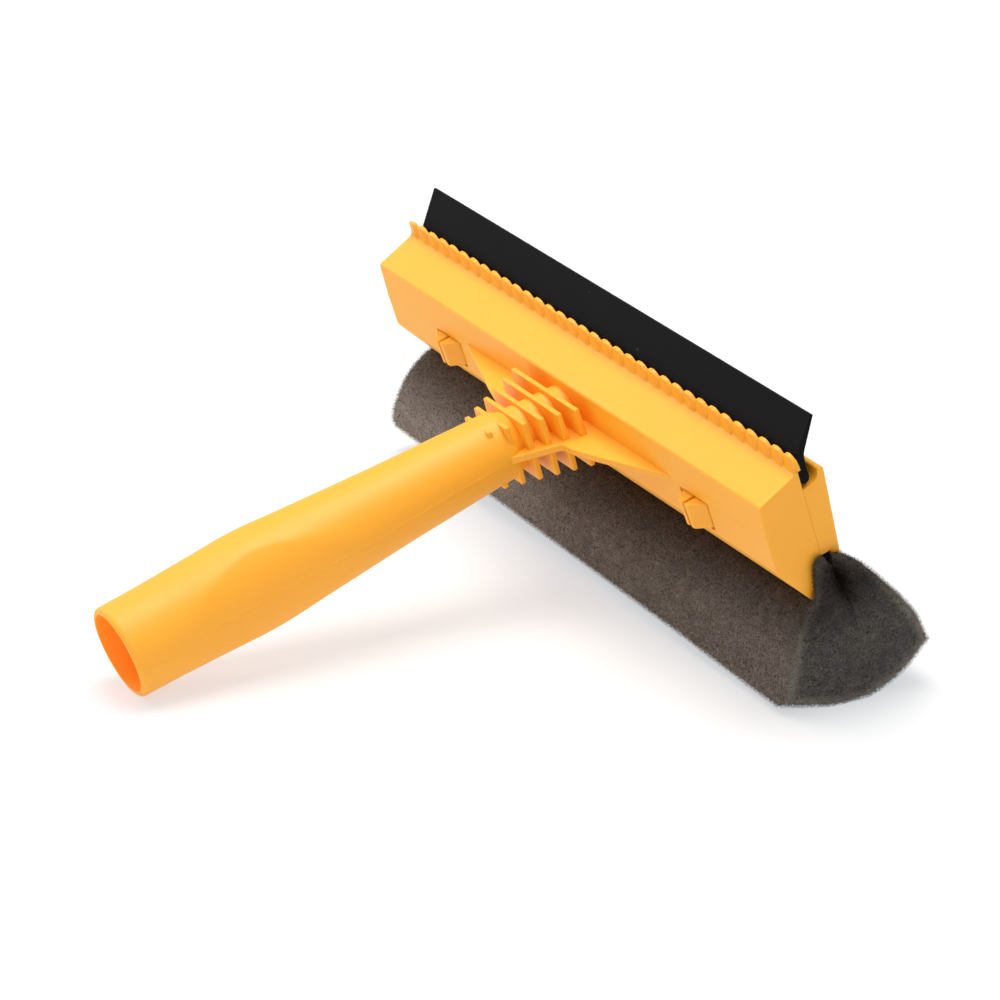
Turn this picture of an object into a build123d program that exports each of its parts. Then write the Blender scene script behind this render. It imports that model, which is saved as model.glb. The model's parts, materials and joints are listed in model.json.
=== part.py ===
from build123d import *
import os

# Window cleaning squeegee: a hollow handle, a finned neck and a front jaw in one moulding, and a back
# jaw that clips onto it. The two jaws pinch a rubber blade along the top and a foam sponge below.
#
# Every piece is drawn in the tool's own frame, in millimetres: X along the head, Y from the handle
# end towards the head with 0 at the front face of the jaw, and Z square to both with 0 on the
# mould's parting plane, which is also the handle's axis. At the end the tool is tipped by TILT and
# stood on the floor, resting on the handle's end and on the sponge.

# ---- driving dimensions -------------------------------------------------------------------------
HEAD_LENGTH = 250.0        # a 10 inch head
TILT = 17.2                # the handle end is down by this many degrees

# front jaw, as a section in (y, z)
JAW_TOP_FRONT = (0.4, 12.4)
JAW_TOP_BACK = (15.3, 16.9)
JAW_INNER_Y = 16.5
JAW_INNER_LOW = -15.0
JAW_NOSE_BACK = (11.5, -28.0)
JAW_NOSE_FRONT = (9.6, -28.0)
JAW_BOTTOM_FRONT = (0.2, -12.5)
JAW_EDGE_RADIUS = 1.2

# scalloped lip along the top of the front jaw
TEETH = 34
TOOTH_PITCH = 7.43
FIRST_VALLEY_X = -119.5
LIP_FRONT_Y = 15.3
LIP_BACK_Y = 17.0
LIP_BASE_Z = 15.5
VALLEY_Z = 21.2
TOOTH_TOP_Z = 22.9

# coring pockets in the back of the front jaw
POCKET_WIDTH = 17.0
POCKET_PITCH = 20.0
POCKET_FRONT_Y = 2.8
POCKET_Z = (-10.5, 9.0)

# latches: a slot through the front jaw, a shallow recess around it, and two springy prongs
LATCH_X = 80.9
RECESS_WIDTH = 17.2
RECESS_DEPTH = 1.2
LATCH_Z = (-11.2, -0.8)
SLOT_WIDTH = 14.4          # lets the barbs through with the prongs at rest
SLIT = 1.2                 # between the two prongs
PRONG_THICKNESS = 2.0
PRONG_Z = (-10.8, -1.3)
BARB_TIP_Y = -4.3
BARB_TIP_WIDTH = 1.9
BARB_HALF_WIDTH = 7.0
PRONG_ROOT_GAP = 0.15      # the prongs bend about their rounded roots

# back jaw, as a section in (y, z)
BACK_INNER_Y = 16.7
BACK_COVE_LOW_Z = 9.9
BACK_COVE_MIDDLE = (21.9, 10.9)
BACK_COVE_TOP = (24.2, 14.8)
BACK_OUTER_TOP = (25.6, 14.8)
BACK_OUTER_LOW = (23.5, -19.4)
BACK_WALL = 3.0
SPONGE_STEP_Z = -13.2

# rubber blade
BLADE_X = (-118.5, 123.5)
BEAD_CENTRE = (18.75, 13.0)
BEAD_RADIUS = 1.9

# sponge
SPONGE_LENGTH = 256.0
NECK_Y = (16.9, 20.15)
NECK_TOP_Z = -13.6
SPONGE_FRONT_CORNER = (-10.0, -61.5)
SPONGE_BOTTOM_MIDDLE = (18.5, -76.6)
SPONGE_BACK_CORNER = (48.5, -66.5)

# handle: radius against distance behind the jaw
HANDLE_END_Y = -173.5
HANDLE_FRONT_Y = -33.0
HANDLE_OUTLINE = [(-172.3, 16.15), (-157.0, 16.25), (-137.0, 16.9), (-122.0, 17.4), (-107.0, 16.4),
                  (-87.0, 15.1), (-66.0, 13.8), (-45.0, 12.8), (HANDLE_FRONT_Y, 12.2)]
SIDE_FACE_SHIFT = 6.0      # the flattened sides are arcs struck from beyond the handle's axis
SIDE_FACE_OUTLINE = [(-175.0, 23.4), (-157.0, 22.3), (-131.0, 21.0), (-108.0, 20.9), (-90.0, 21.2),
                     (-70.0, 22.2), (HANDLE_FRONT_Y, 24.0)]
SOCKET_RADIUS = 13.0
SOCKET_DEPTH = 60.0
SOCKET_LEAD_IN = 0.5
BORE_FRONT = (-42.0, 9.6)

# neck: the handle's core runs on to the jaw through a web plate and six cross fins
CORE_OUTLINE = [(-26.0, 12.1), (-22.0, 10.4), (0.0, 9.1)]
WEB_THICKNESS = 2.6
WEB_OUTLINE = [(11.2, HANDLE_FRONT_Y), (11.9, -28.6), (19.6, -13.2), (69.5, 0.0)]
FINS = 6
FIN_FIRST_Y = -4.9
FIN_PITCH = 5.28
FIN_THICKNESS = 1.8
FIN_HALF_HEIGHT = 11.1
FIN_HALF_WIDTH = 21.2
FIN_STEP = 2.64            # each fin is this much narrower than the one in front of it


def prism(outline, x_from, x_to):
    """A straight bar along X with the given (y, z) outline."""
    section = Plane.YZ.offset(x_from) * make_face(outline)
    return extrude(section, x_to - x_from)


def slab(outline, z_from, z_to):
    """A straight block along Z with the given (x, y) outline."""
    section = Plane.XY.offset(z_from) * make_face(outline)
    return extrude(section, z_to - z_from)


def block(x, y, z):
    """A box between two limits on each axis."""
    size = Box(x[1] - x[0], y[1] - y[0], z[1] - z[0])
    return Pos((x[0] + x[1]) / 2, (y[0] + y[1]) / 2, (z[0] + z[1]) / 2) * size


def turned(points, x_shift=0.0):
    """A solid turned about an axis along Y, from a smooth outline of (y, radius) points."""
    first, last = points[0], points[-1]
    curve = Spline([(radius, y) for y, radius in points])
    closing = Polyline([(last[1], last[0]), (0, last[0]), (0, first[0]), (first[1], first[0])])
    solid = revolve(make_face(curve + closing), Axis.Y)
    return Pos(x_shift, 0, 0) * solid


def make_handle():
    end_y, end_radius = HANDLE_OUTLINE[0]
    shell = turned([(HANDLE_END_Y, end_radius - 0.1)] + HANDLE_OUTLINE[1:])
    for side in (-1, 1):
        shell = shell & turned(SIDE_FACE_OUTLINE, side * SIDE_FACE_SHIFT)
    rim = shell.edges().group_by(Axis.Y)[0]
    shell = fillet(rim, 1.2)
    socket_end = HANDLE_END_Y + SOCKET_DEPTH
    mouth_radius = SOCKET_RADIUS + SOCKET_LEAD_IN
    bore = make_face(Polyline([
        (0, HANDLE_END_Y), (mouth_radius, HANDLE_END_Y), (SOCKET_RADIUS, HANDLE_END_Y + SOCKET_LEAD_IN),
        (SOCKET_RADIUS, socket_end), (BORE_FRONT[1], BORE_FRONT[0]), (0, BORE_FRONT[0]),
        (0, HANDLE_END_Y)]))
    return shell - revolve(bore, Axis.Y)


def make_neck():
    front_radius = HANDLE_OUTLINE[-1][1]
    core_side = [(radius, y) for y, radius in CORE_OUTLINE]
    core_outline = Polyline([(0, HANDLE_FRONT_Y), (front_radius, HANDLE_FRONT_Y)] + core_side + [(0, 0)],
                            close=True)
    neck = revolve(make_face(core_outline), Axis.Y)
    right_side = WEB_OUTLINE
    left_side = [(-x, y) for x, y in reversed(WEB_OUTLINE)]
    web = Polyline(right_side + left_side, close=True)
    neck += slab(web, -WEB_THICKNESS / 2, WEB_THICKNESS / 2)
    for i in range(FINS):
        half_width = FIN_HALF_WIDTH - i * FIN_STEP
        y = FIN_FIRST_Y - i * FIN_PITCH
        neck += block((-half_width, half_width), (y - FIN_THICKNESS / 2, y + FIN_THICKNESS / 2),
                      (-FIN_HALF_HEIGHT, FIN_HALF_HEIGHT))
    return neck


def jaw_outline():
    return Polyline([JAW_BOTTOM_FRONT, (0, 0), JAW_TOP_FRONT, JAW_TOP_BACK, (JAW_INNER_Y, JAW_TOP_BACK[1]),
                     (JAW_INNER_Y, JAW_INNER_LOW), JAW_NOSE_BACK, JAW_NOSE_FRONT], close=True)


def make_lip():
    """The strip of rounded teeth that presses on the rubber blade."""
    half = HEAD_LENGTH / 2
    edge = [Line((-half, LIP_BASE_Z), (-half, VALLEY_Z))]
    left = -half
    for i in range(TEETH):
        right = min(FIRST_VALLEY_X + i * TOOTH_PITCH, half)
        edge.append(ThreePointArc((left, VALLEY_Z), ((left + right) / 2, TOOTH_TOP_Z), (right, VALLEY_Z)))
        left = right
    edge.append(Line((half, VALLEY_Z), (half, LIP_BASE_Z)))
    edge.append(Line((half, LIP_BASE_Z), (-half, LIP_BASE_Z)))
    face = Plane.XZ.offset(-LIP_FRONT_Y) * make_face(edge)
    return extrude(face, -(LIP_BACK_Y - LIP_FRONT_Y))


def make_front_jaw():
    half = HEAD_LENGTH / 2
    jaw = prism(jaw_outline(), -half, half)
    front_edges = jaw.edges().filter_by(Axis.X).group_by(Axis.Y)[:3]
    rounded = [edge for group in front_edges for edge in group if abs(edge.center().Z) > 5]
    jaw = fillet(rounded, JAW_EDGE_RADIUS)
    jaw += make_lip()
    reach = JAW_INNER_Y + 1
    pockets = int(HEAD_LENGTH / POCKET_PITCH) - 1
    for i in range(pockets):
        x = (i - (pockets - 1) / 2) * POCKET_PITCH
        if abs(abs(x) - LATCH_X) > (POCKET_WIDTH + SLOT_WIDTH) / 2 + 1:
            jaw -= block((x - POCKET_WIDTH / 2, x + POCKET_WIDTH / 2), (POCKET_FRONT_Y, reach), POCKET_Z)
    for x in (-LATCH_X, LATCH_X):
        jaw -= block((x - SLOT_WIDTH / 2, x + SLOT_WIDTH / 2), (-1, reach), LATCH_Z)
        jaw -= block((x - RECESS_WIDTH / 2, x + RECESS_WIDTH / 2), (-1, RECESS_DEPTH), LATCH_Z)
    return jaw


def make_back_jaw():
    half = HEAD_LENGTH / 2
    step_y = BACK_OUTER_LOW[0] - BACK_WALL
    outline = [
        ThreePointArc((BACK_INNER_Y, BACK_COVE_LOW_Z), BACK_COVE_MIDDLE, BACK_COVE_TOP),
        Polyline([BACK_COVE_TOP, BACK_OUTER_TOP, BACK_OUTER_LOW, (step_y, BACK_OUTER_LOW[1]),
                  (step_y, SPONGE_STEP_Z), (BACK_INNER_Y, SPONGE_STEP_Z), (BACK_INNER_Y, BACK_COVE_LOW_Z)])]
    jaw = prism(outline, -half, half)
    outer = jaw.edges().filter_by(Axis.X).group_by(Axis.Y)[-1]
    return fillet(outer, 0.6)


def make_prong(latch_x, side):
    """One springy prong with its barb. side is +1 for the prong nearer +X."""
    inner, outer = SLIT / 2, SLIT / 2 + PRONG_THICKNESS
    barb_back = RECESS_DEPTH - 0.2
    root_radius = PRONG_THICKNESS / 2
    root = BACK_INNER_Y - PRONG_ROOT_GAP
    pivot = root - root_radius

    def place(x, y):
        return latch_x + side * x, y

    legs = Polyline([place(outer, pivot), place(outer, barb_back), place(BARB_HALF_WIDTH, barb_back),
                     place(BARB_HALF_WIDTH, 0.1), place(inner + BARB_TIP_WIDTH, BARB_TIP_Y),
                     place(inner, BARB_TIP_Y), place(inner, pivot)])
    round_root = ThreePointArc(place(inner, pivot), place(inner + root_radius, root), place(outer, pivot))
    return slab([legs, round_root], *PRONG_Z)


def make_blade():
    """A leaning lip of rubber that thickens to a rounded bead at its foot."""
    cy, cz = BEAD_CENTRE
    front, back = cy - BEAD_RADIUS, cy + BEAD_RADIUS
    outline = [
        Polyline([(front, cz), (17.35, 17.0), (17.6, 21.0), (26.4, 32.9), (27.3, 32.3), (20.7, 21.2),
                  (20.3, 17.0), (back, cz)]),
        ThreePointArc((back, cz), (cy, cz - BEAD_RADIUS), (front, cz))]
    return prism(outline, *BLADE_X)


def make_sponge():
    """A foam block whose two upper edges are pinched together between the jaws."""
    front_y, back_y = NECK_Y
    front_side = Spline([(8.6, -28.9), (3.2, -34.4), (-2.6, -44.5), SPONGE_FRONT_CORNER])
    bottom = ThreePointArc(SPONGE_FRONT_CORNER, SPONGE_BOTTOM_MIDDLE, SPONGE_BACK_CORNER)
    back_side = Spline([SPONGE_BACK_CORNER, (42.5, -47.0), (34.8, -33.0), (25.0, -20.9)])
    neck = Polyline([(25.0, -20.9), (back_y, -19.8), (back_y, NECK_TOP_Z), (front_y, NECK_TOP_Z),
                     (front_y, JAW_INNER_LOW - 0.2), (JAW_NOSE_BACK[0] + 0.4, -28.45), (8.6, -28.9)])
    return prism([front_side, bottom, back_side, neck], -SPONGE_LENGTH / 2, SPONGE_LENGTH / 2)


def make_all():
    pieces = {
        "handle": make_handle(),
        "neck": make_neck(),
        "front_jaw": make_front_jaw(),
        "back_jaw": make_back_jaw(),
        "rubber_blade": make_blade(),
        "sponge": make_sponge(),
    }
    for latch, latch_x in (("left", -LATCH_X), ("right", LATCH_X)):
        for number, side in ((1, -1), (2, 1)):
            pieces[f"{latch}_prong_{number}"] = make_prong(latch_x, side)
    return pieces


def stand_on_floor(pieces):
    """Tip the tool, put the handle's end on the floor, and flatten the sponge where it rests."""
    tipped = {name: Rot(TILT, 0, 0) * piece for name, piece in pieces.items()}
    drop = -tipped["handle"].bounding_box().min.Z
    everything = Compound(children=[Compound(piece.wrapped) for piece in tipped.values()])
    box = everything.bounding_box()
    middle = (box.min.Y + box.max.Y) / 2
    placed = {name: Pos(0, -middle, drop) * piece for name, piece in tipped.items()}
    placed["sponge"] -= block((-200, 200), (-200, 200), (-50, 0))
    print("tool origin stands at y %.3f z %.3f" % (-middle, drop))
    return placed


os.makedirs("parts", exist_ok=True)
for name, piece in stand_on_floor(make_all()).items():
    export_step(piece, f"parts/{name}.step")
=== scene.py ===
import json
import math

import bmesh
import bpy
from mathutils import Matrix, Vector


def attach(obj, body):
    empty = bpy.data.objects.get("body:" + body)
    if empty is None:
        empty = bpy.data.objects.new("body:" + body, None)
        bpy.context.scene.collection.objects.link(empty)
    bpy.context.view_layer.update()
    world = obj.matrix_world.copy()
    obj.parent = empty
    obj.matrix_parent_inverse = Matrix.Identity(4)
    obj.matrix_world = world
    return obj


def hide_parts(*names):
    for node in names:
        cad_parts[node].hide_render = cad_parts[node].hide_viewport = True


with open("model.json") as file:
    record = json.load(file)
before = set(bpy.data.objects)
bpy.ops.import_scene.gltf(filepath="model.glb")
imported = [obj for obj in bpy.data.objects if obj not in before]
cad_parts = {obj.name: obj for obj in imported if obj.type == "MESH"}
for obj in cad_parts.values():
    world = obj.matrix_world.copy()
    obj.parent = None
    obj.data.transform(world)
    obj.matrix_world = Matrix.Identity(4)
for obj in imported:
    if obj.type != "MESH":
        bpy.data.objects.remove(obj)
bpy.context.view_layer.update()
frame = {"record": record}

# ---- handle -------------------------------------------------------------------------------------
# A hollow tapering grip of orange polypropylene, injected in one shot with the neck and front jaw.
# The end is open so that it pushes onto a pole. Both sides are flattened for the thumb and fingers,
# and the mould's parting line runs along them as a fine raised line.
MM = 0.001
SOCKET_MIDDLE_Y = -143.25            # where the pole socket's mount lies on the handle's axis
HANDLE_END_Y = -173.5
HANDLE_FRONT_Y = -33.0
END_RADIUS = 16.1
END_BAND = [(-163.0, 16.18), (-168.0, 16.15)]
END_BAND_Y = -157.0                  # from here to the end the grip keeps one thickness
RIM_ROUND = 1.7
LIP_ROUND = 0.35
QUARTER_TURN = [math.radians(15 * step) for step in range(7)]
SOCKET_RADIUS = 13.0
SOCKET_STATIONS = (-159.0, -150.0, -130.0, -113.5)
BORE_FRONT = (-42.0, 9.6)            # the cored bore narrows from the socket to here
HANDLE_OUTLINE = [                   # (distance along the tool, radius)
    (END_BAND_Y, 16.25), (-137.0, 16.9), (-122.0, 17.4), (-107.0, 16.4), (-87.0, 15.1),
    (-66.0, 13.8), (-45.0, 12.8), (HANDLE_FRONT_Y, 12.2)]
SIDE_FACE_SHIFT = 6.0                # the flat sides are arcs struck from beyond the axis
SIDE_FACE_OUTLINE = [
    (-175.0, 23.4), (-157.0, 22.3), (-131.0, 21.0), (-108.0, 20.9), (-90.0, 21.2), (-70.0, 22.2),
    (HANDLE_FRONT_Y, 24.0)]
SIDE_FACE_SOFTNESS = 0.07
ROUND_STEPS = 160
PARTING_HALF_WIDTH = 0.22
PARTING_HEIGHT = 0.16
ON_PARTING = 1e-3                    # how near the parting plane a corner lies to be on it


def tool_placement():
    """Turns millimetres in the tool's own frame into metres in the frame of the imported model."""
    socket = next(m for m in frame["record"]["mounts"] if m["name"] == "pole_socket")
    along = -Vector(socket["axis"]).normalized()
    across = Vector((1, 0, 0))
    turn = Matrix((across, along, across.cross(along))).transposed().to_4x4()
    origin = Vector(socket["pos_m"]) - along * SOCKET_MIDDLE_Y * MM
    return Matrix.Translation(origin) @ turn @ Matrix.Scale(MM, 4)


TOOL = tool_placement()


def smooth_curve(points, steps):
    """Points on a smooth curve that passes through every given point."""
    knots = [Vector(p) for p in points]
    curve = []
    for i in range(len(knots) - 1):
        before, after = knots[max(i - 1, 0)], knots[min(i + 2, len(knots) - 1)]
        a, b = knots[i], knots[i + 1]
        span = (b - a).length
        lead_in = (b - before) * span / max((b - before).length, span)
        lead_out = (after - a) * span / max((after - a).length, span)
        for step in range(steps):
            t = step / steps
            curve.append(a * (1 + 2 * t) * (1 - t) ** 2 + lead_in * t * (1 - t) ** 2
                         + b * t * t * (3 - 2 * t) - lead_out * t * t * (1 - t))
    return curve + [knots[-1]]


def level_at(curve, y):
    """The height of a curve of (y, height) points at y."""
    for a, b in zip(curve, curve[1:]):
        if a.x <= y <= b.x:
            return a.y + (b.y - a.y) * (y - a.x) / (b.x - a.x)
    return curve[0].y if y < curve[0].x else curve[-1].y


def turned(outline, steps):
    """A closed body of revolution about the tool's length, from (y, radius) points."""
    bm = bmesh.new()
    ring = [bm.verts.new((radius, y, 0)) for y, radius in outline]
    edges = [bm.edges.new(pair) for pair in zip(ring, ring[1:])]
    bmesh.ops.spin(bm, geom=ring + edges, cent=(0, 0, 0), axis=(0, 1, 0), angle=math.tau,
                   steps=steps, use_merge=True)
    bmesh.ops.remove_doubles(bm, verts=bm.verts, dist=1e-4)
    bmesh.ops.recalc_face_normals(bm, faces=bm.faces)
    return bm


def piece(bm, name, material, sharp=40):
    """Stands a finished shape in its place on the tool and makes it an object."""
    bmesh.ops.transform(bm, matrix=TOOL, verts=bm.verts)
    for face in bm.faces:
        face.smooth = True
    mesh = bpy.data.meshes.new(name)
    bm.to_mesh(mesh)
    bm.free()
    mesh.set_sharp_from_angle(angle=math.radians(sharp))
    mesh.materials.append(material)
    made = bpy.data.objects.new(name, mesh)
    bpy.context.scene.collection.objects.link(made)
    return made


class Socket:
    """A shader socket that takes part in plain sums."""

    def __init__(self, tree, socket):
        self.tree, self.socket = tree, socket

    def math(self, operation, first, second=0.0, clamp=False):
        return self.tree.node("Math", {"operation": operation, "use_clamp": clamp},
                              {0: first, 1: second})

    def __add__(self, other):
        return self.math("ADD", self, other)

    def __sub__(self, other):
        return self.math("SUBTRACT", self, other)

    def __rsub__(self, other):
        return self.math("SUBTRACT", other, self)

    def __mul__(self, other):
        return self.math("MULTIPLY", self, other)

    def clamped(self):
        return self.math("ADD", self, 0.0, clamp=True)

    __radd__ = __add__
    __rmul__ = __mul__


class Finish:
    """One material. Its nodes are added with node(), which gives back the socket asked for."""

    def __init__(self, name):
        self.material = bpy.data.materials.new(name)
        self.material.use_nodes = True
        self.nodes = self.material.node_tree.nodes
        self.links = self.material.node_tree.links
        self.nodes.clear()

    def node(self, kind, settings=None, values=None, output=0):
        made = self.nodes.new("ShaderNode" + kind)
        for name, value in (settings or {}).items():
            setattr(made, name, value)
        for name, value in (values or {}).items():
            if isinstance(value, Socket):
                self.links.new(value.socket, made.inputs[name])
            else:
                made.inputs[name].default_value = value
        return Socket(self, made.outputs[output])

    def place(self):
        return self.node("TexCoord", output="Object")

    def in_tool(self, axis):
        """How far along one axis of the tool's own frame, in millimetres."""
        row = TOOL.inverted()[axis]
        spread = self.node("VectorMath", {"operation": "DOT_PRODUCT"},
                           {0: self.place(), 1: tuple(row[:3])}, output=1)
        return spread + row[3]

    def grain(self, size, detail=2.0, roughness=0.5):
        """Soft noise from 0 to 1, with lumps about size metres across."""
        return self.node("TexNoise", {"noise_dimensions": "3D"},
                         {"Vector": self.place(), "Scale": 1 / size, "Detail": detail,
                          "Roughness": roughness})

    def mixed(self, amount, low, high):
        """A colour between low and high."""
        return self.node("Mix", {"data_type": "RGBA"}, {0: amount, 6: low, 7: high}, output=2)

    def bumped(self, height, depth, strength=1.0):
        return self.node("Bump", None, {"Height": height, "Distance": depth, "Strength": strength})

    def surface(self, **values):
        sockets = {name.replace("_", " "): value for name, value in values.items()}
        shader = self.node("BsdfPrincipled", None, sockets)
        output = self.nodes.new("ShaderNodeOutputMaterial")
        self.links.new(shader.socket, output.inputs["Surface"])
        return self.material


PAINTED_BORE_GLOW = (0.30, 0.045, 0.0, 1)    # painted glow: the bore emits this light to stand in for daylight coming through the handle's wall
BORE_GLOW_RADIUS = 13.5
BORE_GLOW_FRONT_Y = -90.0


def orange_plastic():
    """Polypropylene coloured right through, with a fine spark-eroded grain off the mould, and a
    painted glow in the bore that stands in for daylight through the wall.
    """
    finish = Finish("orange_plastic")
    flow = finish.grain(0.035, 3.0)
    speckle = finish.grain(0.0009, 2.0)
    tone = (flow * 0.7 + speckle * 0.3).clamped()
    colour = finish.mixed(tone, (0.948, 0.387, 0.009, 1), (0.983, 0.437, 0.015, 1))
    rubbed = finish.grain(0.006, 4.0, 0.65)
    texture = finish.grain(0.00035, 2.0, 0.6) * 0.6 + finish.grain(0.0016, 2.0) * 0.4
    sideways, depth, square = (finish.in_tool(axis) for axis in range(3))
    # painted glow: emission inside the bore, fading out towards the front, stands in for daylight
    # through the wall
    in_bore = ((BORE_GLOW_RADIUS ** 2 - sideways * sideways - square * square) * 0.2).clamped()
    in_bore = in_bore * ((BORE_GLOW_FRONT_Y - depth) * 0.5).clamped()
    return finish.surface(
        Base_Color=colour, Roughness=rubbed * 0.14 + 0.46,
        Normal=finish.bumped(texture, 0.00004, 0.35),
        Emission_Color=finish.mixed(in_bore, (0, 0, 0, 1), PAINTED_BORE_GLOW), Emission_Strength=1.0,
        Subsurface_Weight=0.15, Subsurface_Radius=(1.0, 0.45, 0.12), Subsurface_Scale=0.002,
        Specular_IOR_Level=0.65, IOR=1.49)


ORANGE = orange_plastic()

outer = smooth_curve(HANDLE_OUTLINE, 9)
side_limit = smooth_curve(SIDE_FACE_OUTLINE, 8)
profile = [(HANDLE_FRONT_Y, 0.0)] + [tuple(p) for p in reversed(outer)] + END_BAND
profile += [(HANDLE_END_Y + RIM_ROUND + 0.7, END_RADIUS)]
profile += [(HANDLE_END_Y + RIM_ROUND * (1 - math.sin(angle)),
             END_RADIUS - RIM_ROUND * (1 - math.cos(angle))) for angle in QUARTER_TURN]
profile += [(HANDLE_END_Y + LIP_ROUND * (1 - math.cos(angle)),
             END_RADIUS - RIM_ROUND - LIP_ROUND * math.sin(angle)) for angle in QUARTER_TURN[1:]]
mouth_radius = END_RADIUS - RIM_ROUND - LIP_ROUND
profile += [(-170.0, mouth_radius - 0.1), (-164.0, SOCKET_RADIUS + 0.3)]
profile += [(y, SOCKET_RADIUS) for y in SOCKET_STATIONS] + [BORE_FRONT, (BORE_FRONT[0], 0.0)]
shell = turned(profile, ROUND_STEPS)
for vert in shell.verts:
    radius = math.hypot(vert.co.x, vert.co.z)
    if radius > SOCKET_RADIUS + 0.01:
        cosine, sine = abs(vert.co.x) / radius, vert.co.z / radius
        barrel = level_at(side_limit, vert.co.y)
        limit = math.sqrt(barrel ** 2 - (SIDE_FACE_SHIFT * sine) ** 2) - SIDE_FACE_SHIFT * cosine
        full = level_at(outer, vert.co.y) if vert.co.y > END_BAND_Y else END_RADIUS
        room = (full - limit) / SIDE_FACE_SOFTNESS
        cut = SIDE_FACE_SOFTNESS * (math.log1p(math.exp(-abs(room))) + max(room, 0))
        share = min((radius - SOCKET_RADIUS) / (full - SOCKET_RADIUS), 1)
        vert.co.x *= 1 - cut * share / radius
        vert.co.z *= 1 - cut * share / radius
side_lines = [e for e in shell.edges if all(
    abs(v.co.z) < ON_PARTING and abs(v.co.x) > 11 and v.co.y > HANDLE_END_Y + 1 for v in e.verts)
    and abs(e.verts[0].co.y - e.verts[1].co.y) > 0.1 and max(abs(v.co.x) for v in e.verts) > 12.05
    and not any(abs(abs(v.co.x) - SOCKET_RADIUS) < 0.02 for v in e.verts)]
bmesh.ops.bevel(shell, geom=side_lines, offset=PARTING_HALF_WIDTH, affect="EDGES", segments=2,
                profile=0.5, material=-1)
for vert in shell.verts:
    if abs(vert.co.z) < ON_PARTING and abs(vert.co.x) > 11.5 and vert.co.y > HANDLE_END_Y + 2:
        if math.hypot(vert.co.x, vert.co.z) > SOCKET_RADIUS + 0.5 or vert.co.y > -60:
            vert.co.x += math.copysign(PARTING_HEIGHT, vert.co.x)
handle = piece(shell, "handle_grip", ORANGE, sharp=50)
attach(handle, "handle_and_front_jaw")
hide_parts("handle")

# ---- neck ---------------------------------------------------------------------------------------
# The handle's core carried on to the jaw, with a flat web plate that flares out to brace the long
# jaw and six square cross fins that stiffen it. All of it is part of the same moulding.
CORE_OUTLINE = [(HANDLE_FRONT_Y, 12.2), (-27.0, 12.05), (-25.2, 11.7), (-23.5, 10.9),
                (-22.0, 10.35), (-16.4, 10.05), (-11.0, 9.7), (-5.8, 9.45), (-0.6, 9.1), (0.5, 9.0)]
WEB_THICKNESS = 2.6
WEB_ROUND = 0.4
WEB_OUTLINE = [(11.4, HANDLE_FRONT_Y + 0.6), (12.0, -28.6), (12.9, -27.6), (19.7, -13.3),
               (26.0, -12.3), (36.0, -9.6), (69.5, 0.6)]
FINS = 6
FIN_FIRST_Y = -4.9
FIN_PITCH = 5.28
FIN_TIP_THICKNESS = 1.7
FIN_ROOT_THICKNESS = 2.3
FIN_HALF_HEIGHT = 11.15
FIN_HALF_WIDTH = 21.2
FIN_STEP = 2.64
FIN_DRAFT = 0.5
FIN_ROUND = 0.38


def bevel_sharp(bm, verts, radius, above=25):
    """Rounds the sharp edges among these corners."""
    group = set(verts)
    edges = [e for e in bm.edges if e.verts[0] in group and e.verts[1] in group
             and len(e.link_faces) == 2 and e.calc_face_angle(0) > math.radians(above)]
    bmesh.ops.bevel(bm, geom=edges, offset=radius, affect="EDGES", segments=3, profile=0.5,
                    material=-1)


def plate(bm, outline, low, high, radius):
    """A flat plate with an (x, y) outline, between two heights, with its edges rounded."""
    face = bm.faces.new([bm.verts.new((x, y, low)) for x, y in outline])
    grown = bmesh.ops.extrude_face_region(bm, geom=[face], use_keep_orig=True)["geom"]
    top = [g for g in grown if isinstance(g, bmesh.types.BMVert)]
    bmesh.ops.translate(bm, verts=top, vec=(0, 0, high - low))
    body = list(face.verts) + top
    bmesh.ops.recalc_face_normals(bm, faces=list({f for v in body for f in v.link_faces}))
    bevel_sharp(bm, body, radius)


def joined(bm, part):
    """Adds one shape to another. The added one is used up."""
    mesh = bpy.data.meshes.new("joined")
    part.to_mesh(mesh)
    part.free()
    bm.from_mesh(mesh)
    bpy.data.meshes.remove(mesh)


def fin(y, half_width):
    """A square plate across the neck, thinner at its top and bottom edges than at its middle."""
    bm = bmesh.new()
    bmesh.ops.create_cube(bm, size=2.0)
    upright = [e for e in bm.edges if abs(e.verts[0].co.z - e.verts[1].co.z) > 1]
    bmesh.ops.subdivide_edges(bm, edges=upright, cuts=1, use_grid_fill=True)
    for vert in bm.verts:
        root = abs(vert.co.z) < 0.5
        vert.co.x *= half_width + (FIN_DRAFT if root else 0)
        vert.co.y = y + vert.co.y * (FIN_ROOT_THICKNESS if root else FIN_TIP_THICKNESS) / 2
        vert.co.z *= FIN_HALF_HEIGHT
    bevel_sharp(bm, bm.verts, FIN_ROUND, above=30)
    return bm


core = [tuple(p) for p in smooth_curve(CORE_OUTLINE, 5)]
neck = turned([(HANDLE_FRONT_Y, 0.0)] + core + [(0.6, 0.0)], ROUND_STEPS)
left_side = [(-x, y) for x, y in reversed(WEB_OUTLINE)]
plate(neck, WEB_OUTLINE + left_side, -WEB_THICKNESS / 2, WEB_THICKNESS / 2, WEB_ROUND)
for i in range(FINS):
    joined(neck, fin(FIN_FIRST_Y - i * FIN_PITCH, FIN_HALF_WIDTH - i * FIN_STEP))
neck = piece(neck, "finned_neck", ORANGE)
neck.modifiers.new("flat_faces", "WEIGHTED_NORMAL").keep_sharp = True
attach(neck, "handle_and_front_jaw")
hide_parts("neck")

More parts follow.
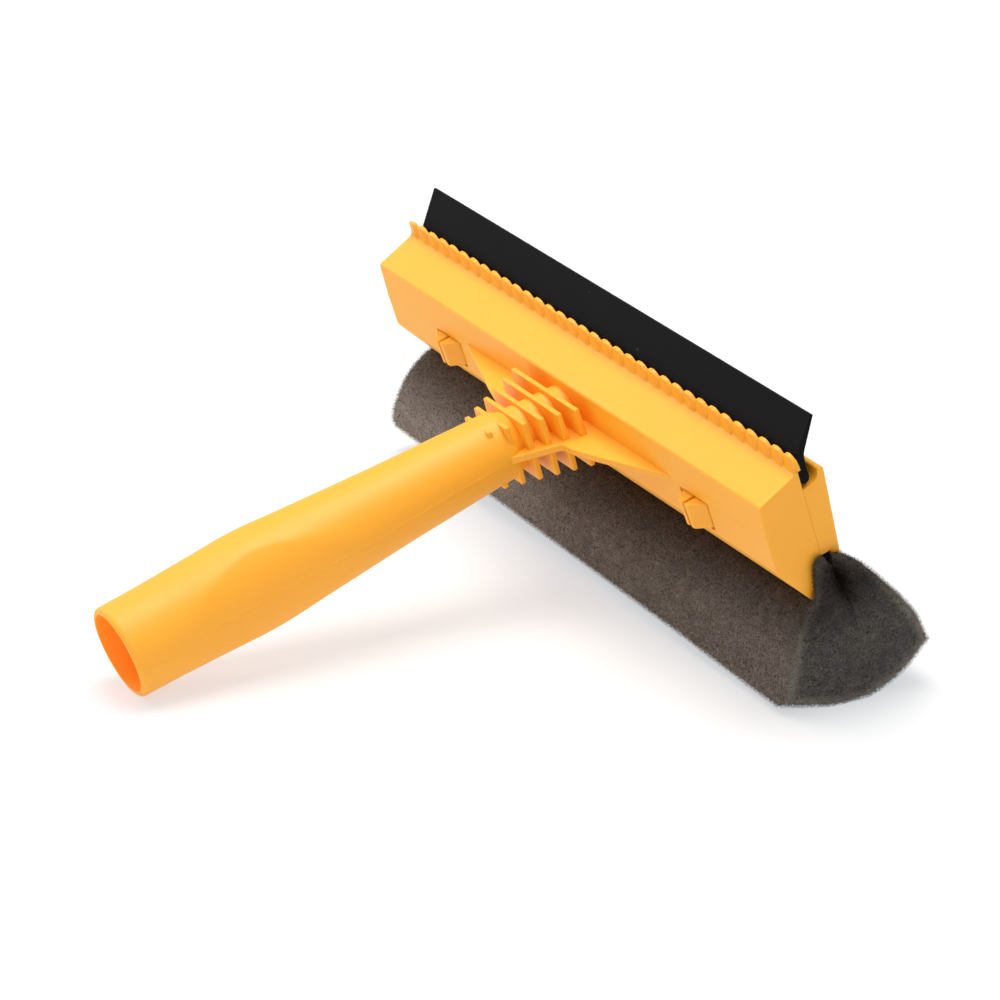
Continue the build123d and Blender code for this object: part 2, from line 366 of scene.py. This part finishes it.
# ---- front jaw ----------------------------------------------------------------------------------
# The long hollow-backed bar at the head of the same moulding. Its front has a faint parting line,
# two shallow windows for the latches of the back jaw, and a lip of rope-like teeth along the top
# that presses on the rubber blade.
HALF_HEAD = 125.0
SEAM_HALF = (0.12, 0.42)             # the mould's parting line stands up as a fine bead
SEAM_HEIGHT = 0.12
JAW_SECTION = [                      # (y, z, corner radius)
    (0.2, -12.5, 1.0), (0.0, -SEAM_HALF[1], 0.0), (-SEAM_HEIGHT, -SEAM_HALF[0], 0.0),
    (-SEAM_HEIGHT, SEAM_HALF[0], 0.0), (0.0, SEAM_HALF[1], 0.0), (0.4, 12.4, 1.0),
    (13.7, 16.42, 0.0), (14.5, 16.72, 0.0), (15.1, 17.15, 0.0), (15.5, 17.7, 0.0),
    (15.62, 18.2, 0.0), (16.5, 18.4, 0.0), (16.5, -15.0, 0.8), (11.5, -28.0, 0.6),
    (9.6, -28.0, 0.6)]
JAW_END_ROUND = 0.35
LATCH_X = 80.9
RECESS_HALF_WIDTH = 8.5
RECESS_DEPTH = 1.2
LATCH_Z = (-11.2, -0.8)
SLOT_Z = (-10.95, -1.15)
SLOT_HALF_WIDTH = 7.15
SLOT_DEPTH = 12.0
POCKETS = 11
POCKET_PITCH = 20.0
POCKET_HALF_WIDTH = 8.5
POCKET_Z = (-10.5, 9.0)
POCKET_DEPTH = 13.7
POCKET_TO_LATCH = 16.7               # no pocket lies nearer than this to a latch
TEETH = 34
TOOTH_PITCH = 7.43
FIRST_VALLEY_X = -119.5
LIP_FRONT_Y = (15.45, 15.95)         # at the foot and at the top of the teeth
LIP_BACK_Y = 17.1
LIP_FOOT_Z = 17.3
VALLEY_Z = 21.2
TOOTH_TOP_Z = 23.0
TOOTH_RELIEF = 0.8
TOOTH_ROUND = 0.2
FACING = 0.98                        # how squarely a face looks along an axis to be on that side


def bar(section, half_length, end_round=0.0):
    """A bar along the head with a (y, z, corner radius) section and softly rounded ends."""
    bm = bmesh.new()
    corners = [bm.verts.new((end_round - half_length, y, z)) for y, z, _ in section]
    bm.faces.new(corners)
    for radius in sorted({r for _, _, r in section if r > 0}):
        group = [v for v, (_, _, r) in zip(corners, section) if r == radius]
        bmesh.ops.bevel(bm, geom=group, offset=radius * 0.8, affect="VERTICES", segments=4,
                        profile=0.5, material=-1)
    grown = bmesh.ops.extrude_face_region(bm, geom=bm.faces[:], use_keep_orig=True)["geom"]
    bmesh.ops.translate(bm, verts=[g for g in grown if isinstance(g, bmesh.types.BMVert)],
                        vec=(2 * (half_length - end_round), 0, 0))
    bmesh.ops.recalc_face_normals(bm, faces=bm.faces)
    if end_round > 0:
        caps = [f for f in bm.faces if abs(f.normal.x) > 0.9]
        arc = [math.radians(30 * step) for step in range(4)]
        for before, after in zip(arc, arc[1:]):
            bmesh.ops.inset_region(
                bm, faces=caps, thickness=end_round * (math.cos(before) - math.cos(after)),
                depth=end_round * (math.sin(after) - math.sin(before)), use_even_offset=True)
    return bm


def cut_across(bm, faces, point, normal):
    """Scores a line across these faces, and gives back the faces after the cut."""
    edges = {e for f in faces for e in f.edges}
    verts = {v for f in faces for v in f.verts}
    cut = bmesh.ops.bisect_plane(bm, geom=list(faces) + list(edges) + list(verts), plane_co=point,
                                 plane_no=normal, dist=1e-5)
    return [g for g in cut["geom"] if isinstance(g, bmesh.types.BMFace)]


def sink(bm, faces, depth):
    """Pushes a patch straight in by depth, leaving square walls."""
    bmesh.ops.inset_region(bm, faces=faces, thickness=0.02, depth=-depth, use_even_offset=True)


def faces_where(bm, test):
    return [f for f in bm.faces if test(f.calc_center_median(), f.normal)]


jaw = bar(JAW_SECTION, HALF_HEAD, JAW_END_ROUND)
front = faces_where(jaw, lambda c, n: n.y < -FACING and -12 < c.z < -1 and abs(c.x) < HALF_HEAD - 1)
for x in [side * LATCH_X + edge for side in (-1, 1) for edge in (
        -RECESS_HALF_WIDTH, -SLOT_HALF_WIDTH, SLOT_HALF_WIDTH, RECESS_HALF_WIDTH)]:
    front = cut_across(jaw, front, (x, 0, 0), (1, 0, 0))
for z in LATCH_Z + SLOT_Z:
    front = cut_across(jaw, front, (0, 0, z), (0, 0, 1))


def in_window(centre, half_width, levels):
    return abs(abs(centre.x) - LATCH_X) < half_width and levels[0] < centre.z < levels[1]


for side in (-1, 1):
    window = faces_where(jaw, lambda c, n: n.y < -FACING and c.x * side > 0
                         and in_window(c, RECESS_HALF_WIDTH, LATCH_Z))
    sink(jaw, window, RECESS_DEPTH)
    slot = faces_where(jaw, lambda c, n: n.y < -FACING and c.x * side > 0 and c.y > 0.9
                       and in_window(c, SLOT_HALF_WIDTH, SLOT_Z))
    sink(jaw, slot, SLOT_DEPTH)

back = faces_where(jaw, lambda c, n: n.y > FACING and abs(c.z) < 15 and abs(c.x) < HALF_HEAD - 1)
pocket_middles = [(i - (POCKETS - 1) / 2) * POCKET_PITCH for i in range(POCKETS)]
pocket_middles = [x for x in pocket_middles if abs(abs(x) - LATCH_X) > POCKET_TO_LATCH]
for x in [middle + side * POCKET_HALF_WIDTH for middle in pocket_middles for side in (-1, 1)]:
    back = cut_across(jaw, back, (x, 0, 0), (1, 0, 0))
for z in POCKET_Z:
    back = cut_across(jaw, back, (0, 0, z), (0, 0, 1))
for middle in pocket_middles:
    pocket = faces_where(jaw, lambda c, n: n.y > FACING and abs(c.x - middle) < POCKET_HALF_WIDTH
                         and POCKET_Z[0] < c.z < POCKET_Z[1])
    sink(jaw, pocket, POCKET_DEPTH)

for z in [side * half for side in (-1, 1) for half in SEAM_HALF]:
    cut_across(jaw, faces_where(jaw, lambda c, n: abs(c.x) > HALF_HEAD - JAW_END_ROUND - 0.01),
               (0, 0, z), (0, 0, 1))
for vert in jaw.verts:
    if abs(vert.co.x) > HALF_HEAD - 0.1 and abs(vert.co.z) < 0.1:
        vert.co.x += math.copysign(SEAM_HEIGHT, vert.co.x)


def tooth(bm, left, right, first=False, last=False):
    """One slanting strand of the lip: a broad face, a narrow one beside it, and a flat top."""
    foot_y, top_y = LIP_FRONT_Y
    span = right - left
    valley_z = VALLEY_Z - 0.3
    ridge = [(0.0, valley_z), (0.14, TOOTH_TOP_Z - 1.0), (0.32, TOOTH_TOP_Z - 0.25),
             (0.58, TOOTH_TOP_Z - 0.1), (0.78, TOOTH_TOP_Z - 0.6), (0.92, valley_z + 0.55),
             (1.0, valley_z)]
    if first:
        ridge[:2] = [(-0.04, TOOTH_TOP_Z - 1.1), (0.12, TOOTH_TOP_Z - 1.0)]
        ridge[2:4] = [(0.3, TOOTH_TOP_Z - 0.8), (0.58, TOOTH_TOP_Z - 0.6)]
    if last:
        ridge[3:] = [(0.55, TOOTH_TOP_Z + 0.1), (0.76, TOOTH_TOP_Z - 0.6),
                     (0.92, TOOTH_TOP_Z - 2.2), (1.0, TOOTH_TOP_Z - 4.2)]
    crest = 3

    def front_at(share, z):
        """How far forward the broad face or the narrow one stands at this place."""
        height = (z - LIP_FOOT_Z) / (TOOTH_TOP_Z - LIP_FOOT_Z)
        crease = 0.96 + (ridge[crest][0] - 0.96) * height
        relief = share / crease if share < crease else (1 - share) / (1.001 - crease)
        return foot_y + (top_y - foot_y) * height + 0.2 - TOOTH_RELIEF * relief

    def place(share, y, z):
        return bm.verts.new((left + share * span, y, z))

    front_top = [place(share, front_at(share, z), z) for share, z in ridge]
    rear_top = [place(share, LIP_BACK_Y + (0.35 if last and share > 0.9 else -0.1), z)
                for share, z in ridge]
    foot = [place(share, front_at(share, LIP_FOOT_Z), LIP_FOOT_Z) for share in (0.0, 0.96, 1.0)]
    rear = [place(share, LIP_BACK_Y + (0.5 if last and share > 0.9 else 0), LIP_FOOT_Z)
            for share in (0.0, 1.0)]
    bm.faces.new([foot[0], foot[1]] + front_top[crest::-1])
    bm.faces.new([foot[1], foot[2]] + front_top[:crest - 1:-1])
    bm.faces.new([rear[1], rear[0]] + rear_top)
    for i in range(len(ridge) - 1):
        bm.faces.new([front_top[i], front_top[i + 1], rear_top[i + 1], rear_top[i]])
    bm.faces.new([foot[0], front_top[0], rear_top[0], rear[0]])
    bm.faces.new([foot[2], rear[1], rear_top[-1], front_top[-1]])
    bm.faces.new([foot[2], foot[1], foot[0], rear[0], rear[1]])


valleys = [FIRST_VALLEY_X + i * TOOTH_PITCH for i in range(TEETH - 1)]
edges_x = [-HALF_HEAD] + valleys + [HALF_HEAD]
for i in range(TEETH):
    strand = bmesh.new()
    tooth(strand, edges_x[i], edges_x[i + 1], first=i == 0, last=i == TEETH - 1)
    bmesh.ops.recalc_face_normals(strand, faces=strand.faces)
    creases = [e for e in strand.edges if e.calc_face_angle(0) > 0.25]
    bmesh.ops.bevel(strand, geom=creases, offset=TOOTH_ROUND, affect="EDGES", segments=2,
                    profile=0.5, material=-1, clamp_overlap=True)
    joined(jaw, strand)
front_jaw = piece(jaw, "front_jaw_bar", ORANGE)
front_jaw.modifiers.new("flat_faces", "WEIGHTED_NORMAL").keep_sharp = True
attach(front_jaw, "handle_and_front_jaw")
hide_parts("front_jaw")

# ---- back jaw -----------------------------------------------------------------------------------
# A separate strip of the same plastic that clips onto the front jaw from behind. A cove along its
# top holds the bead of the rubber blade, and its thinner skirt pinches the foam.
BACK_SECTION = [                     # (y, z, corner radius)
    (16.53, 9.9, 0.5), (19.7, 10.2, 0.0), (21.6, 11.0, 0.0), (22.8, 12.4, 0.0), (23.3, 14.6, 0.6),
    (25.65, 15.0, 2.0), (23.5, -19.4, 0.8), (20.5, -19.4, 0.8), (20.5, -15.0, 0.3),
    (16.53, -15.0, 0.5)]
BACK_SHORTER = 0.4                   # each end stops this far inside the front jaw's
BACK_END_ROUND = 0.35
back_bar = bar(BACK_SECTION, HALF_HEAD - BACK_SHORTER, BACK_END_ROUND)
back_jaw = piece(back_bar, "back_jaw_strip", ORANGE, sharp=50)
back_jaw.modifiers.new("flat_faces", "WEIGHTED_NORMAL").keep_sharp = True
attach(back_jaw, "back_jaw")
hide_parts("back_jaw")

# ---- prongs -------------------------------------------------------------------------------------
# Two pairs of springy prongs stand on the back jaw and reach through the front jaw's windows.
# Each ends in half of an arrowhead, and pinching a pair together lets the back jaw come away.
PRONG_OUTLINE = [                    # (distance from the middle of the pair, y)
    (0.6, 16.55), (2.6, 16.55), (2.6, 1.0), (7.0, 1.0), (7.0, 0.1), (2.5, -4.3), (0.6, -4.4)]
PRONG_Z = (-10.8, -1.3)
PRONG_LEAN = 0.5                     # the barb's lower end is further back, as draft
PRONG_ROUND = 0.3
for latch, latch_x in (("left", -LATCH_X), ("right", LATCH_X)):
    for number, side in ((1, -1), (2, 1)):
        shape = bmesh.new()
        outline = [(latch_x + side * x, y) for x, y in PRONG_OUTLINE]
        plate(shape, outline, *PRONG_Z, PRONG_ROUND)
        for vert in shape.verts:
            if vert.co.y < 0.5:
                vert.co.y += PRONG_LEAN * (PRONG_Z[1] - vert.co.z) / (PRONG_Z[1] - PRONG_Z[0])
        prong = piece(shape, f"{latch}_latch_prong_{number}", ORANGE)
        prong.modifiers.new("flat_faces", "WEIGHTED_NORMAL").keep_sharp = True
        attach(prong, f"{latch}_prong_{number}")
        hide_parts(f"{latch}_prong_{number}")

# ---- rubber blade -------------------------------------------------------------------------------
# A strip of black rubber cut from an extrusion: a round bead at its foot sits in the back jaw's
# cove, and the leaning lip above it, sliced off square, wipes the glass.
BLADE_X = (-118.5, 123.5)
BLADE_SECTION = [                    # (y, z, corner radius)
    (20.65, 13.0, 0.0), (20.1, 11.65, 0.0), (18.75, 11.1, 0.0), (17.4, 11.65, 0.0),
    (16.85, 13.0, 0.0), (17.35, 17.0, 0.8), (17.6, 21.0, 1.5), (26.4, 32.9, 0.12),
    (27.3, 32.3, 0.12), (20.7, 21.2, 1.5), (20.3, 17.0, 0.8)]


def black_rubber():
    """Smooth black rubber with a dry bloom and a few specks of dust."""
    finish = Finish("black_rubber")
    bloom = finish.grain(0.02, 4.0, 0.6)
    dust = finish.node("TexVoronoi", {"feature": "F1"},
                       {"Vector": finish.place(), "Scale": 110.0})
    specks = (1 - dust * 16.0).clamped()
    fine = finish.grain(0.0005, 3.0, 0.6)
    colour = finish.mixed(bloom, (0.0028, 0.0029, 0.0036, 1), (0.0046, 0.0046, 0.0052, 1))
    colour = finish.mixed(specks * 0.22, colour, (0.35, 0.34, 0.33, 1))
    return finish.surface(
        Base_Color=colour, Roughness=bloom * 0.12 + 0.55, Normal=finish.bumped(fine, 0.00003, 0.3),
        Specular_IOR_Level=0.08)


blade = bar(BLADE_SECTION, (BLADE_X[1] - BLADE_X[0]) / 2)
bmesh.ops.translate(blade, verts=blade.verts, vec=((BLADE_X[0] + BLADE_X[1]) / 2, 0, 0))
rubber_blade = piece(blade, "wiper_blade", black_rubber(), sharp=35)
rubber_blade.modifiers.new("flat_faces", "WEIGHTED_NORMAL").keep_sharp = True
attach(rubber_blade, "rubber_blade")
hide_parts("rubber_blade")

# ---- foam sponge --------------------------------------------------------------------------------
# A thick strip of grey open-cell foam, folded along its middle and pinched between the jaws by the
# two edges of the fold, so that it spreads below into a fat wedge. Its ends and long lower edges
# are knife cuts, with a haze of loose cell walls on every open face.
FOAM_HALF = 128.0
FOAM_ALONG = 150
FOAM_ACROSS = 46
FOAM_DEEP = 22
FLOOR_GAP = 0.2
END_ROUND = 2.0
FOAM_SIDES = {                       # (y, z) from the lower corner up to the pinch
    "front": [(-8.1, -63.5), (-5.2, -57.8), (-3.2, -49.9), (-1.0, -42.2), (2.0, -35.2),
              (5.6, -30.2), (9.4, -28.6), (12.0, -28.3), (14.4, -22.0), (16.7, -18.4), (17.0, -15.4)],
    "end_front": [(-8.1, -63.5), (-5.2, -57.8), (-3.2, -49.9), (-1.0, -42.2), (2.0, -35.2),
                  (5.2, -29.4), (8.8, -26.8), (10.6, -22.0), (11.8, -16.6), (13.4, -14.0),
                  (15.8, -13.3)],
    "left_front": [(-8.6, -56.3), (-9.4, -51.8), (-8.1, -46.5), (-5.2, -40.9), (-1.8, -36.0),
                   (2.8, -32.0), (8.2, -29.3), (12.0, -28.3), (14.4, -22.0), (16.7, -18.4),
                   (17.0, -15.4)],
    "back": [(48.8, -68.3), (46.9, -57.4), (40.9, -43.9), (32.6, -30.0), (26.2, -22.4),
             (20.3, -19.3), (20.3, -17.4), (20.2, -15.4)],
    "end_back": [(48.8, -68.3), (46.0, -57.4), (40.2, -43.9), (31.8, -27.8), (26.8, -20.6),
                 (23.4, -17.2), (21.2, -15.2), (19.0, -14.2)]}
FOAM_BOTTOM = [(-8.1, -63.5), (2.8, -69.5), (14.7, -74.6), (26.1, -76.4), (38.6, -74.0),
               (48.8, -68.3)]
FOLD = Vector((23.6, -37.8))         # how deep the slit between the two legs of the fold reaches
PINCH = Vector((17.4, -13.8))
CREASE_DEPTH = 7.0
CREASE_WIDTH = 3.2
END_BULGE = 1.3
RIM_HIGHLIGHT_WIDTH = 1.3                      # how far the painted highlight along the rim of a cut end reaches in
JAW_SKIRT_Z = (-28.6, -19.6)         # the foam is open below these, in front and behind
HAZE = (0.6, 0.15, -0.25)            # how far the layers of loose cell walls stand off the face
CORE_INSET = 0.6
foam_sides = {name: smooth_curve(points, 6) for name, points in FOAM_SIDES.items()}
foam_bottom = smooth_curve(FOAM_BOTTOM, 6)


def along_curve(curve, share):
    """The point that lies this share of the way along a curve's points."""
    place = min(max(share, 0.0), 1.0) * (len(curve) - 1)
    i = min(int(place), len(curve) - 2)
    return curve[i].lerp(curve[i + 1], place - i)


def eased(value, low, high):
    t = min(max((value - low) / (high - low), 0.0), 1.0)
    return t * t * (3 - 2 * t)


def foam_point(across, deep, x):
    """Where a point of the foam's section at x lies, as (y, z). across runs from -1 at the front
    to 1 at the back, and deep from 0 at the bottom to 1 at the fold and the pinch."""
    past_jaw = eased(abs(x), HALF_HEAD + 0.1, HALF_HEAD + 1.4)
    left = (0.5 - x / (2 * FOAM_HALF)) ** 0.8 * min(1.0, (FOAM_HALF - x) / 60)

    def front(share):
        point = along_curve(foam_sides["front"], share).lerp(
            along_curve(foam_sides["left_front"], share), left)
        return point.lerp(along_curve(foam_sides["end_front"], share), past_jaw if x > 0 else 0.0)

    def back(share):
        return along_curve(foam_sides["back"], share).lerp(
            along_curve(foam_sides["end_back"], share), past_jaw)

    share = (across + 1) / 2
    lift = front(0.0) - foam_bottom[0]
    bottom = along_curve(foam_bottom, share) + lift * max(0.0, 1 - share * 2.4) ** 1.5
    pinch = (front(1.0) + back(1.0)) / 2
    slit = FOLD.lerp(pinch, abs(across))
    slit.x += math.copysign((0.12 + 0.6 * past_jaw) * abs(across), across)
    leg = FOLD.lerp(front(1.0) if across < 0 else back(1.0), abs(across))
    top = slit.lerp(leg, eased(abs(across), 0.75, 1.0))
    patch = bottom.lerp(top, deep) + front(deep).lerp(back(deep), share)
    low = front(0.0).lerp(foam_bottom[-1], share)
    return patch - low.lerp(front(1.0).lerp(back(1.0), share), deep)


def crease_at(point):
    """How far the cut end is drawn in at this place by the fold."""
    line = PINCH - FOLD
    t = min(max((point - FOLD).dot(line) / line.length_squared, 0.0), 1.0)
    apart = (point - FOLD - line * t).length
    deepest = CREASE_DEPTH * (0.2 + 0.8 * eased(t, 0.0, 0.4)) * (1 - 0.88 * eased(t, 0.45, 0.95))
    return deepest * math.exp(-(apart / (CREASE_WIDTH * (1 - 0.45 * t))) ** 1.5)


strip = bmesh.new()
bmesh.ops.create_grid(strip, x_segments=FOAM_ACROSS, y_segments=FOAM_DEEP, size=1.0)
stood_up = Matrix(((0, 0, 1), (1, 0, 0), (0, 1, 0)))
bmesh.ops.rotate(strip, verts=strip.verts, cent=(0, 0, 0), matrix=stood_up)
bmesh.ops.translate(strip, verts=strip.verts, vec=(-1, 0, 0))
grown = bmesh.ops.extrude_face_region(strip, geom=strip.faces[:], use_keep_orig=True)["geom"]
bmesh.ops.translate(strip, verts=[g for g in grown if isinstance(g, bmesh.types.BMVert)],
                    vec=(2, 0, 0))
long_edges = [e for e in strip.edges if abs(e.verts[0].co.x - e.verts[1].co.x) > 1]
bmesh.ops.subdivide_edges(strip, edges=long_edges, cuts=FOAM_ALONG, use_grid_fill=True)
bmesh.ops.recalc_face_normals(strip, faces=strip.faces)

cut_end = strip.verts.layers.float.new("cut_end")
painted_shade = strip.verts.layers.float.new("painted_shade")
rim_highlight = strip.verts.layers.float.new("rim_highlight")
haze = strip.verts.layers.float.new("haze")
to_floor = (TOOL.to_3x3().inverted() @ Vector((0, 0, 1))).normalized()
floor_line = TOOL.inverted() @ Vector((0, 0, FLOOR_GAP * MM))


def above_floor(point):
    below = (floor_line - point).dot(to_floor)
    return point + to_floor * max(below, 0.0)


core_insets = []
for vert in strip.verts:
    along, across, deep = vert.co.x, vert.co.y, (vert.co.z + 1) / 2
    x = math.copysign(FOAM_HALF * (1 - (1 - abs(along)) ** 1.5), along)
    from_end = FOAM_HALF - abs(x)
    inset = 0.0
    if from_end < END_ROUND:
        inset = END_ROUND - math.sqrt(END_ROUND ** 2 - (END_ROUND - from_end) ** 2)
    if abs(along) > 0.9999:
        edge = min((1 - abs(across)) * 24, deep * 50)
        bulge = END_BULGE * (1 - across ** 2) * math.sin(math.pi * min(deep, 0.97)) ** 0.5
        vert[cut_end] = 1.0
    else:
        edge, bulge = from_end, 0.0
        vert[cut_end] = eased(2.2 - from_end, 0.0, 1.6)
    # painted highlight: a pale band along the rim of each cut end, fading out within this width
    vert[rim_highlight] = math.exp(-(edge / RIM_HIGHLIGHT_WIDTH) ** 2)
    point = foam_point(across * (1 - inset / 26), deep + (1 - deep) * inset / 45, x)
    skirt_z = JAW_SKIRT_Z[0] if across < 0 else JAW_SKIRT_Z[1]
    vert[haze] = 1.0 if abs(x) > HALF_HEAD + 0.4 or point.y < skirt_z else 0.0
    if deep > 0.999 and abs(across) < 0.999:
        vert[haze] = 0.0
    core_insets.append(CORE_INSET * vert[haze] * (1 - eased(point.y, -27, -17)))
    drawn_in = crease_at(point)
    in_crease = drawn_in / CREASE_DEPTH if along > 0.99 else 0
    # painted shade: the foam is darker towards the jaws above it, and in the crease of the right-hand
    # cut end
    vert[painted_shade] = 0.9 * eased(point.y, -50, -26) + 0.5 * in_crease
    reach = min(abs(x) + bulge, FOAM_HALF + bulge - drawn_in - 0.02 * from_end)
    x = math.copysign(reach, x)
    hang = min(max((-28 - point.y) / 38, 0.0), 1.1)
    lean = 7 + 3.5 * min(max((10 - point.x) / 18, 0.0), 1.0) + 2.5 * eased(-x, 85, 128)
    vert.co = above_floor(Vector((x - hang * lean, point.x, point.y)))

strip.normal_update()
outward = [vert.normal.copy() for vert in strip.verts]
surface = [vert.co.copy() for vert in strip.verts]
for vert in strip.verts:
    vert.tag = False
open_faces = [f for f in strip.faces if all(v[haze] > 0.5 for v in f.verts)]
open_parts = list({v for f in open_faces for v in f.verts})
open_parts += list({e for f in open_faces for e in f.edges})
layers = [bmesh.ops.duplicate(strip, geom=open_faces + open_parts)["vert_map"] for _ in HAZE]
strip.verts.index_update()
for layer, stand_off in zip(layers, HAZE):
    for core, loose in layer.items():
        if core.index < len(surface) and loose.index >= len(surface):
            loose.co = above_floor(surface[core.index] + outward[core.index] * stand_off)
            loose[haze] = 1.0 + stand_off
            loose.tag = True
for vert in strip.verts:
    if not vert.tag and vert[haze] > 0.5:
        vert.co = above_floor(surface[vert.index] - outward[vert.index] * core_insets[vert.index])
for face in strip.faces:
    face.material_index = int(all(v.tag for v in face.verts))


def foam_pattern(finish):
    """Open cells about a millimetre across, with pale walls round dark pits."""
    place = finish.place()
    swirl = finish.node("TexNoise", None, {"Vector": place, "Scale": 700.0}, output=1)
    swirl = finish.node("VectorMath", {"operation": "SCALE"}, {0: swirl, "Scale": 0.0009})
    warped = finish.node("VectorMath", {"operation": "ADD"}, {0: place, 1: swirl})
    cells = finish.node("TexVoronoi", {"feature": "F1"}, {"Vector": warped, "Scale": 780.0})
    clumps = finish.grain(0.003, 2.0, 0.6)
    fine = finish.grain(0.00055, 2.0, 0.75)
    cut = finish.node("Attribute", {"attribute_name": "cut_end"}, output=2)
    rim_highlight_mask = finish.node("Attribute", {"attribute_name": "rim_highlight"}, output=2)
    painted_shade = finish.node("Attribute", {"attribute_name": "painted_shade"}, output=2)
    tone = (fine * 2.6 + clumps * 0.8 - 1.25).clamped()
    # painted light: the side faces are made lighter towards the left end, where more light falls
    along = finish.node("SeparateXYZ", None, {"Vector": place}, output=0)
    painted_light_left = (along * -12.0 - 0.1).clamped() * 1.1 + 0.84
    side = finish.mixed((tone * painted_light_left).clamped(), (0.050, 0.038, 0.031, 1), (0.44, 0.365, 0.31, 1))
    # partly painted shade: the cut ends get a darker, greyer colour than the sides; some of this is
    # the cut face's own colour and the rest is shade painted in
    end = finish.mixed(tone * 0.86, (0.016, 0.014, 0.012, 1), (0.25, 0.23, 0.205, 1))
    wall = finish.mixed(cut, side, end)
    # painted highlight: lightens the foam along the rims of the cut ends
    wall = finish.mixed(rim_highlight_mask * 0.6, wall, (0.30, 0.26, 0.215, 1))
    # painted shade: darkens the foam where it runs up under the jaws and along the crease of the cut
    # end
    wall = finish.mixed(painted_shade * 0.78, wall, (0.022, 0.013, 0.010, 1))
    pit = (1.6 - cells * 3.4).clamped() * (clumps * 3.4 - 0.75).clamped()
    return wall, pit, tone


def grey_foam():
    """The body of the foam, dark down in its pores."""
    finish = Finish("grey_foam")
    wall, pit, tone = foam_pattern(finish)
    colour = finish.mixed(pit, wall, (0.008, 0.0065, 0.0055, 1))
    return finish.surface(
        Base_Color=colour, Roughness=0.95, Normal=finish.bumped(tone * 0.6 - pit, 0.0007, 1.0),
        Specular_IOR_Level=0.06)


def loose_cells():
    """Cell walls standing free of the cut faces, with open air between them."""
    finish = Finish("foam_haze")
    wall, pit, tone = foam_pattern(finish)
    stand_off = finish.node("Attribute", {"attribute_name": "haze"}, output=2)
    struts = finish.node("TexVoronoi", {"feature": "DISTANCE_TO_EDGE"},
                         {"Vector": finish.place(), "Scale": 900.0})
    width = 0.16 - stand_off * 0.06
    solid = ((width - struts) * 12.0 + tone * 0.2).clamped() * (1 - pit)
    return finish.surface(Base_Color=wall, Roughness=0.95, Alpha=solid, Specular_IOR_Level=0.06)


sponge = piece(strip, "folded_sponge", grey_foam(), sharp=60)
sponge.data.materials.append(loose_cells())
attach(sponge, "sponge")
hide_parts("sponge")

# ---- floor, light and camera --------------------------------------------------------------------
# A plain white sheet, a large soft light above, and two weaker ones from the left and the right.
# The sheet glows a little of itself, as one lit from below does.
CAMERA_FROM_TOOL = (1.197685, -0.701670, 0.565998)
CAMERA_FORWARD = (-0.799402, 0.451742, -0.396087)
CAMERA_RIGHT = (0.491980, 0.870607, 0.0)
CAMERA_LENS = 162.0


def white_floor():
    """A backlit white sheet, so that only faint shadows show on it."""
    finish = Finish("white_floor")
    shade = finish.grain(0.4, 2.0)
    colour = finish.mixed(shade, (0.435, 0.415, 0.39, 1), (0.445, 0.425, 0.40, 1))
    return finish.surface(Base_Color=colour, Roughness=0.9, Specular_IOR_Level=0.0,
                          Emission_Color=(0.515, 0.54, 0.565, 1), Emission_Strength=1.0)


ground = bmesh.new()
bmesh.ops.create_circle(ground, cap_ends=True, radius=6.0, segments=96)
floor_mesh = bpy.data.meshes.new("floor")
ground.to_mesh(floor_mesh)
ground.free()
floor_mesh.materials.append(white_floor())
floor = bpy.data.objects.new("floor", floor_mesh)
bpy.context.scene.collection.objects.link(floor)


def soft_light(name, place, target, size, power):
    lamp = bpy.data.lights.new(name, "AREA")
    lamp.shape, lamp.size, lamp.energy = "DISK", size, power
    made = bpy.data.objects.new(name, lamp)
    made.location = place
    made.rotation_euler = (Vector(target) - Vector(place)).to_track_quat("-Z", "Y").to_euler()
    bpy.context.scene.collection.objects.link(made)


soft_light("overhead", (-0.05, 0.0, 1.3), (0, 0, 0.03), 0.9, 13.0)
soft_light("left", (-1.3, -0.7, 0.95), (0, 0, 0.03), 0.9, 6.5)
soft_light("right", (1.2, -0.8, 1.1), (0, 0, 0.03), 1.2, 1.5)

world = bpy.data.worlds.new("studio")
world.use_nodes = True
world.node_tree.nodes["Background"].inputs["Color"].default_value = (1, 1, 1, 1)
world.node_tree.nodes["Background"].inputs["Strength"].default_value = 0.62
bpy.context.scene.world = world
bpy.context.scene.view_settings.view_transform = "Standard"

lens = bpy.data.cameras.new("camera")
lens.lens, lens.sensor_width = CAMERA_LENS, 36.0
lens.clip_start, lens.clip_end = 0.05, 20.0
camera = bpy.data.objects.new("camera", lens)
forward, right = Vector(CAMERA_FORWARD).normalized(), Vector(CAMERA_RIGHT).normalized()
axes = Matrix((right, right.cross(forward), -forward)).transposed().to_4x4()
camera.matrix_world = Matrix.Translation(TOOL.translation + Vector(CAMERA_FROM_TOOL)) @ axes
bpy.context.scene.collection.objects.link(camera)
bpy.context.scene.camera = camera
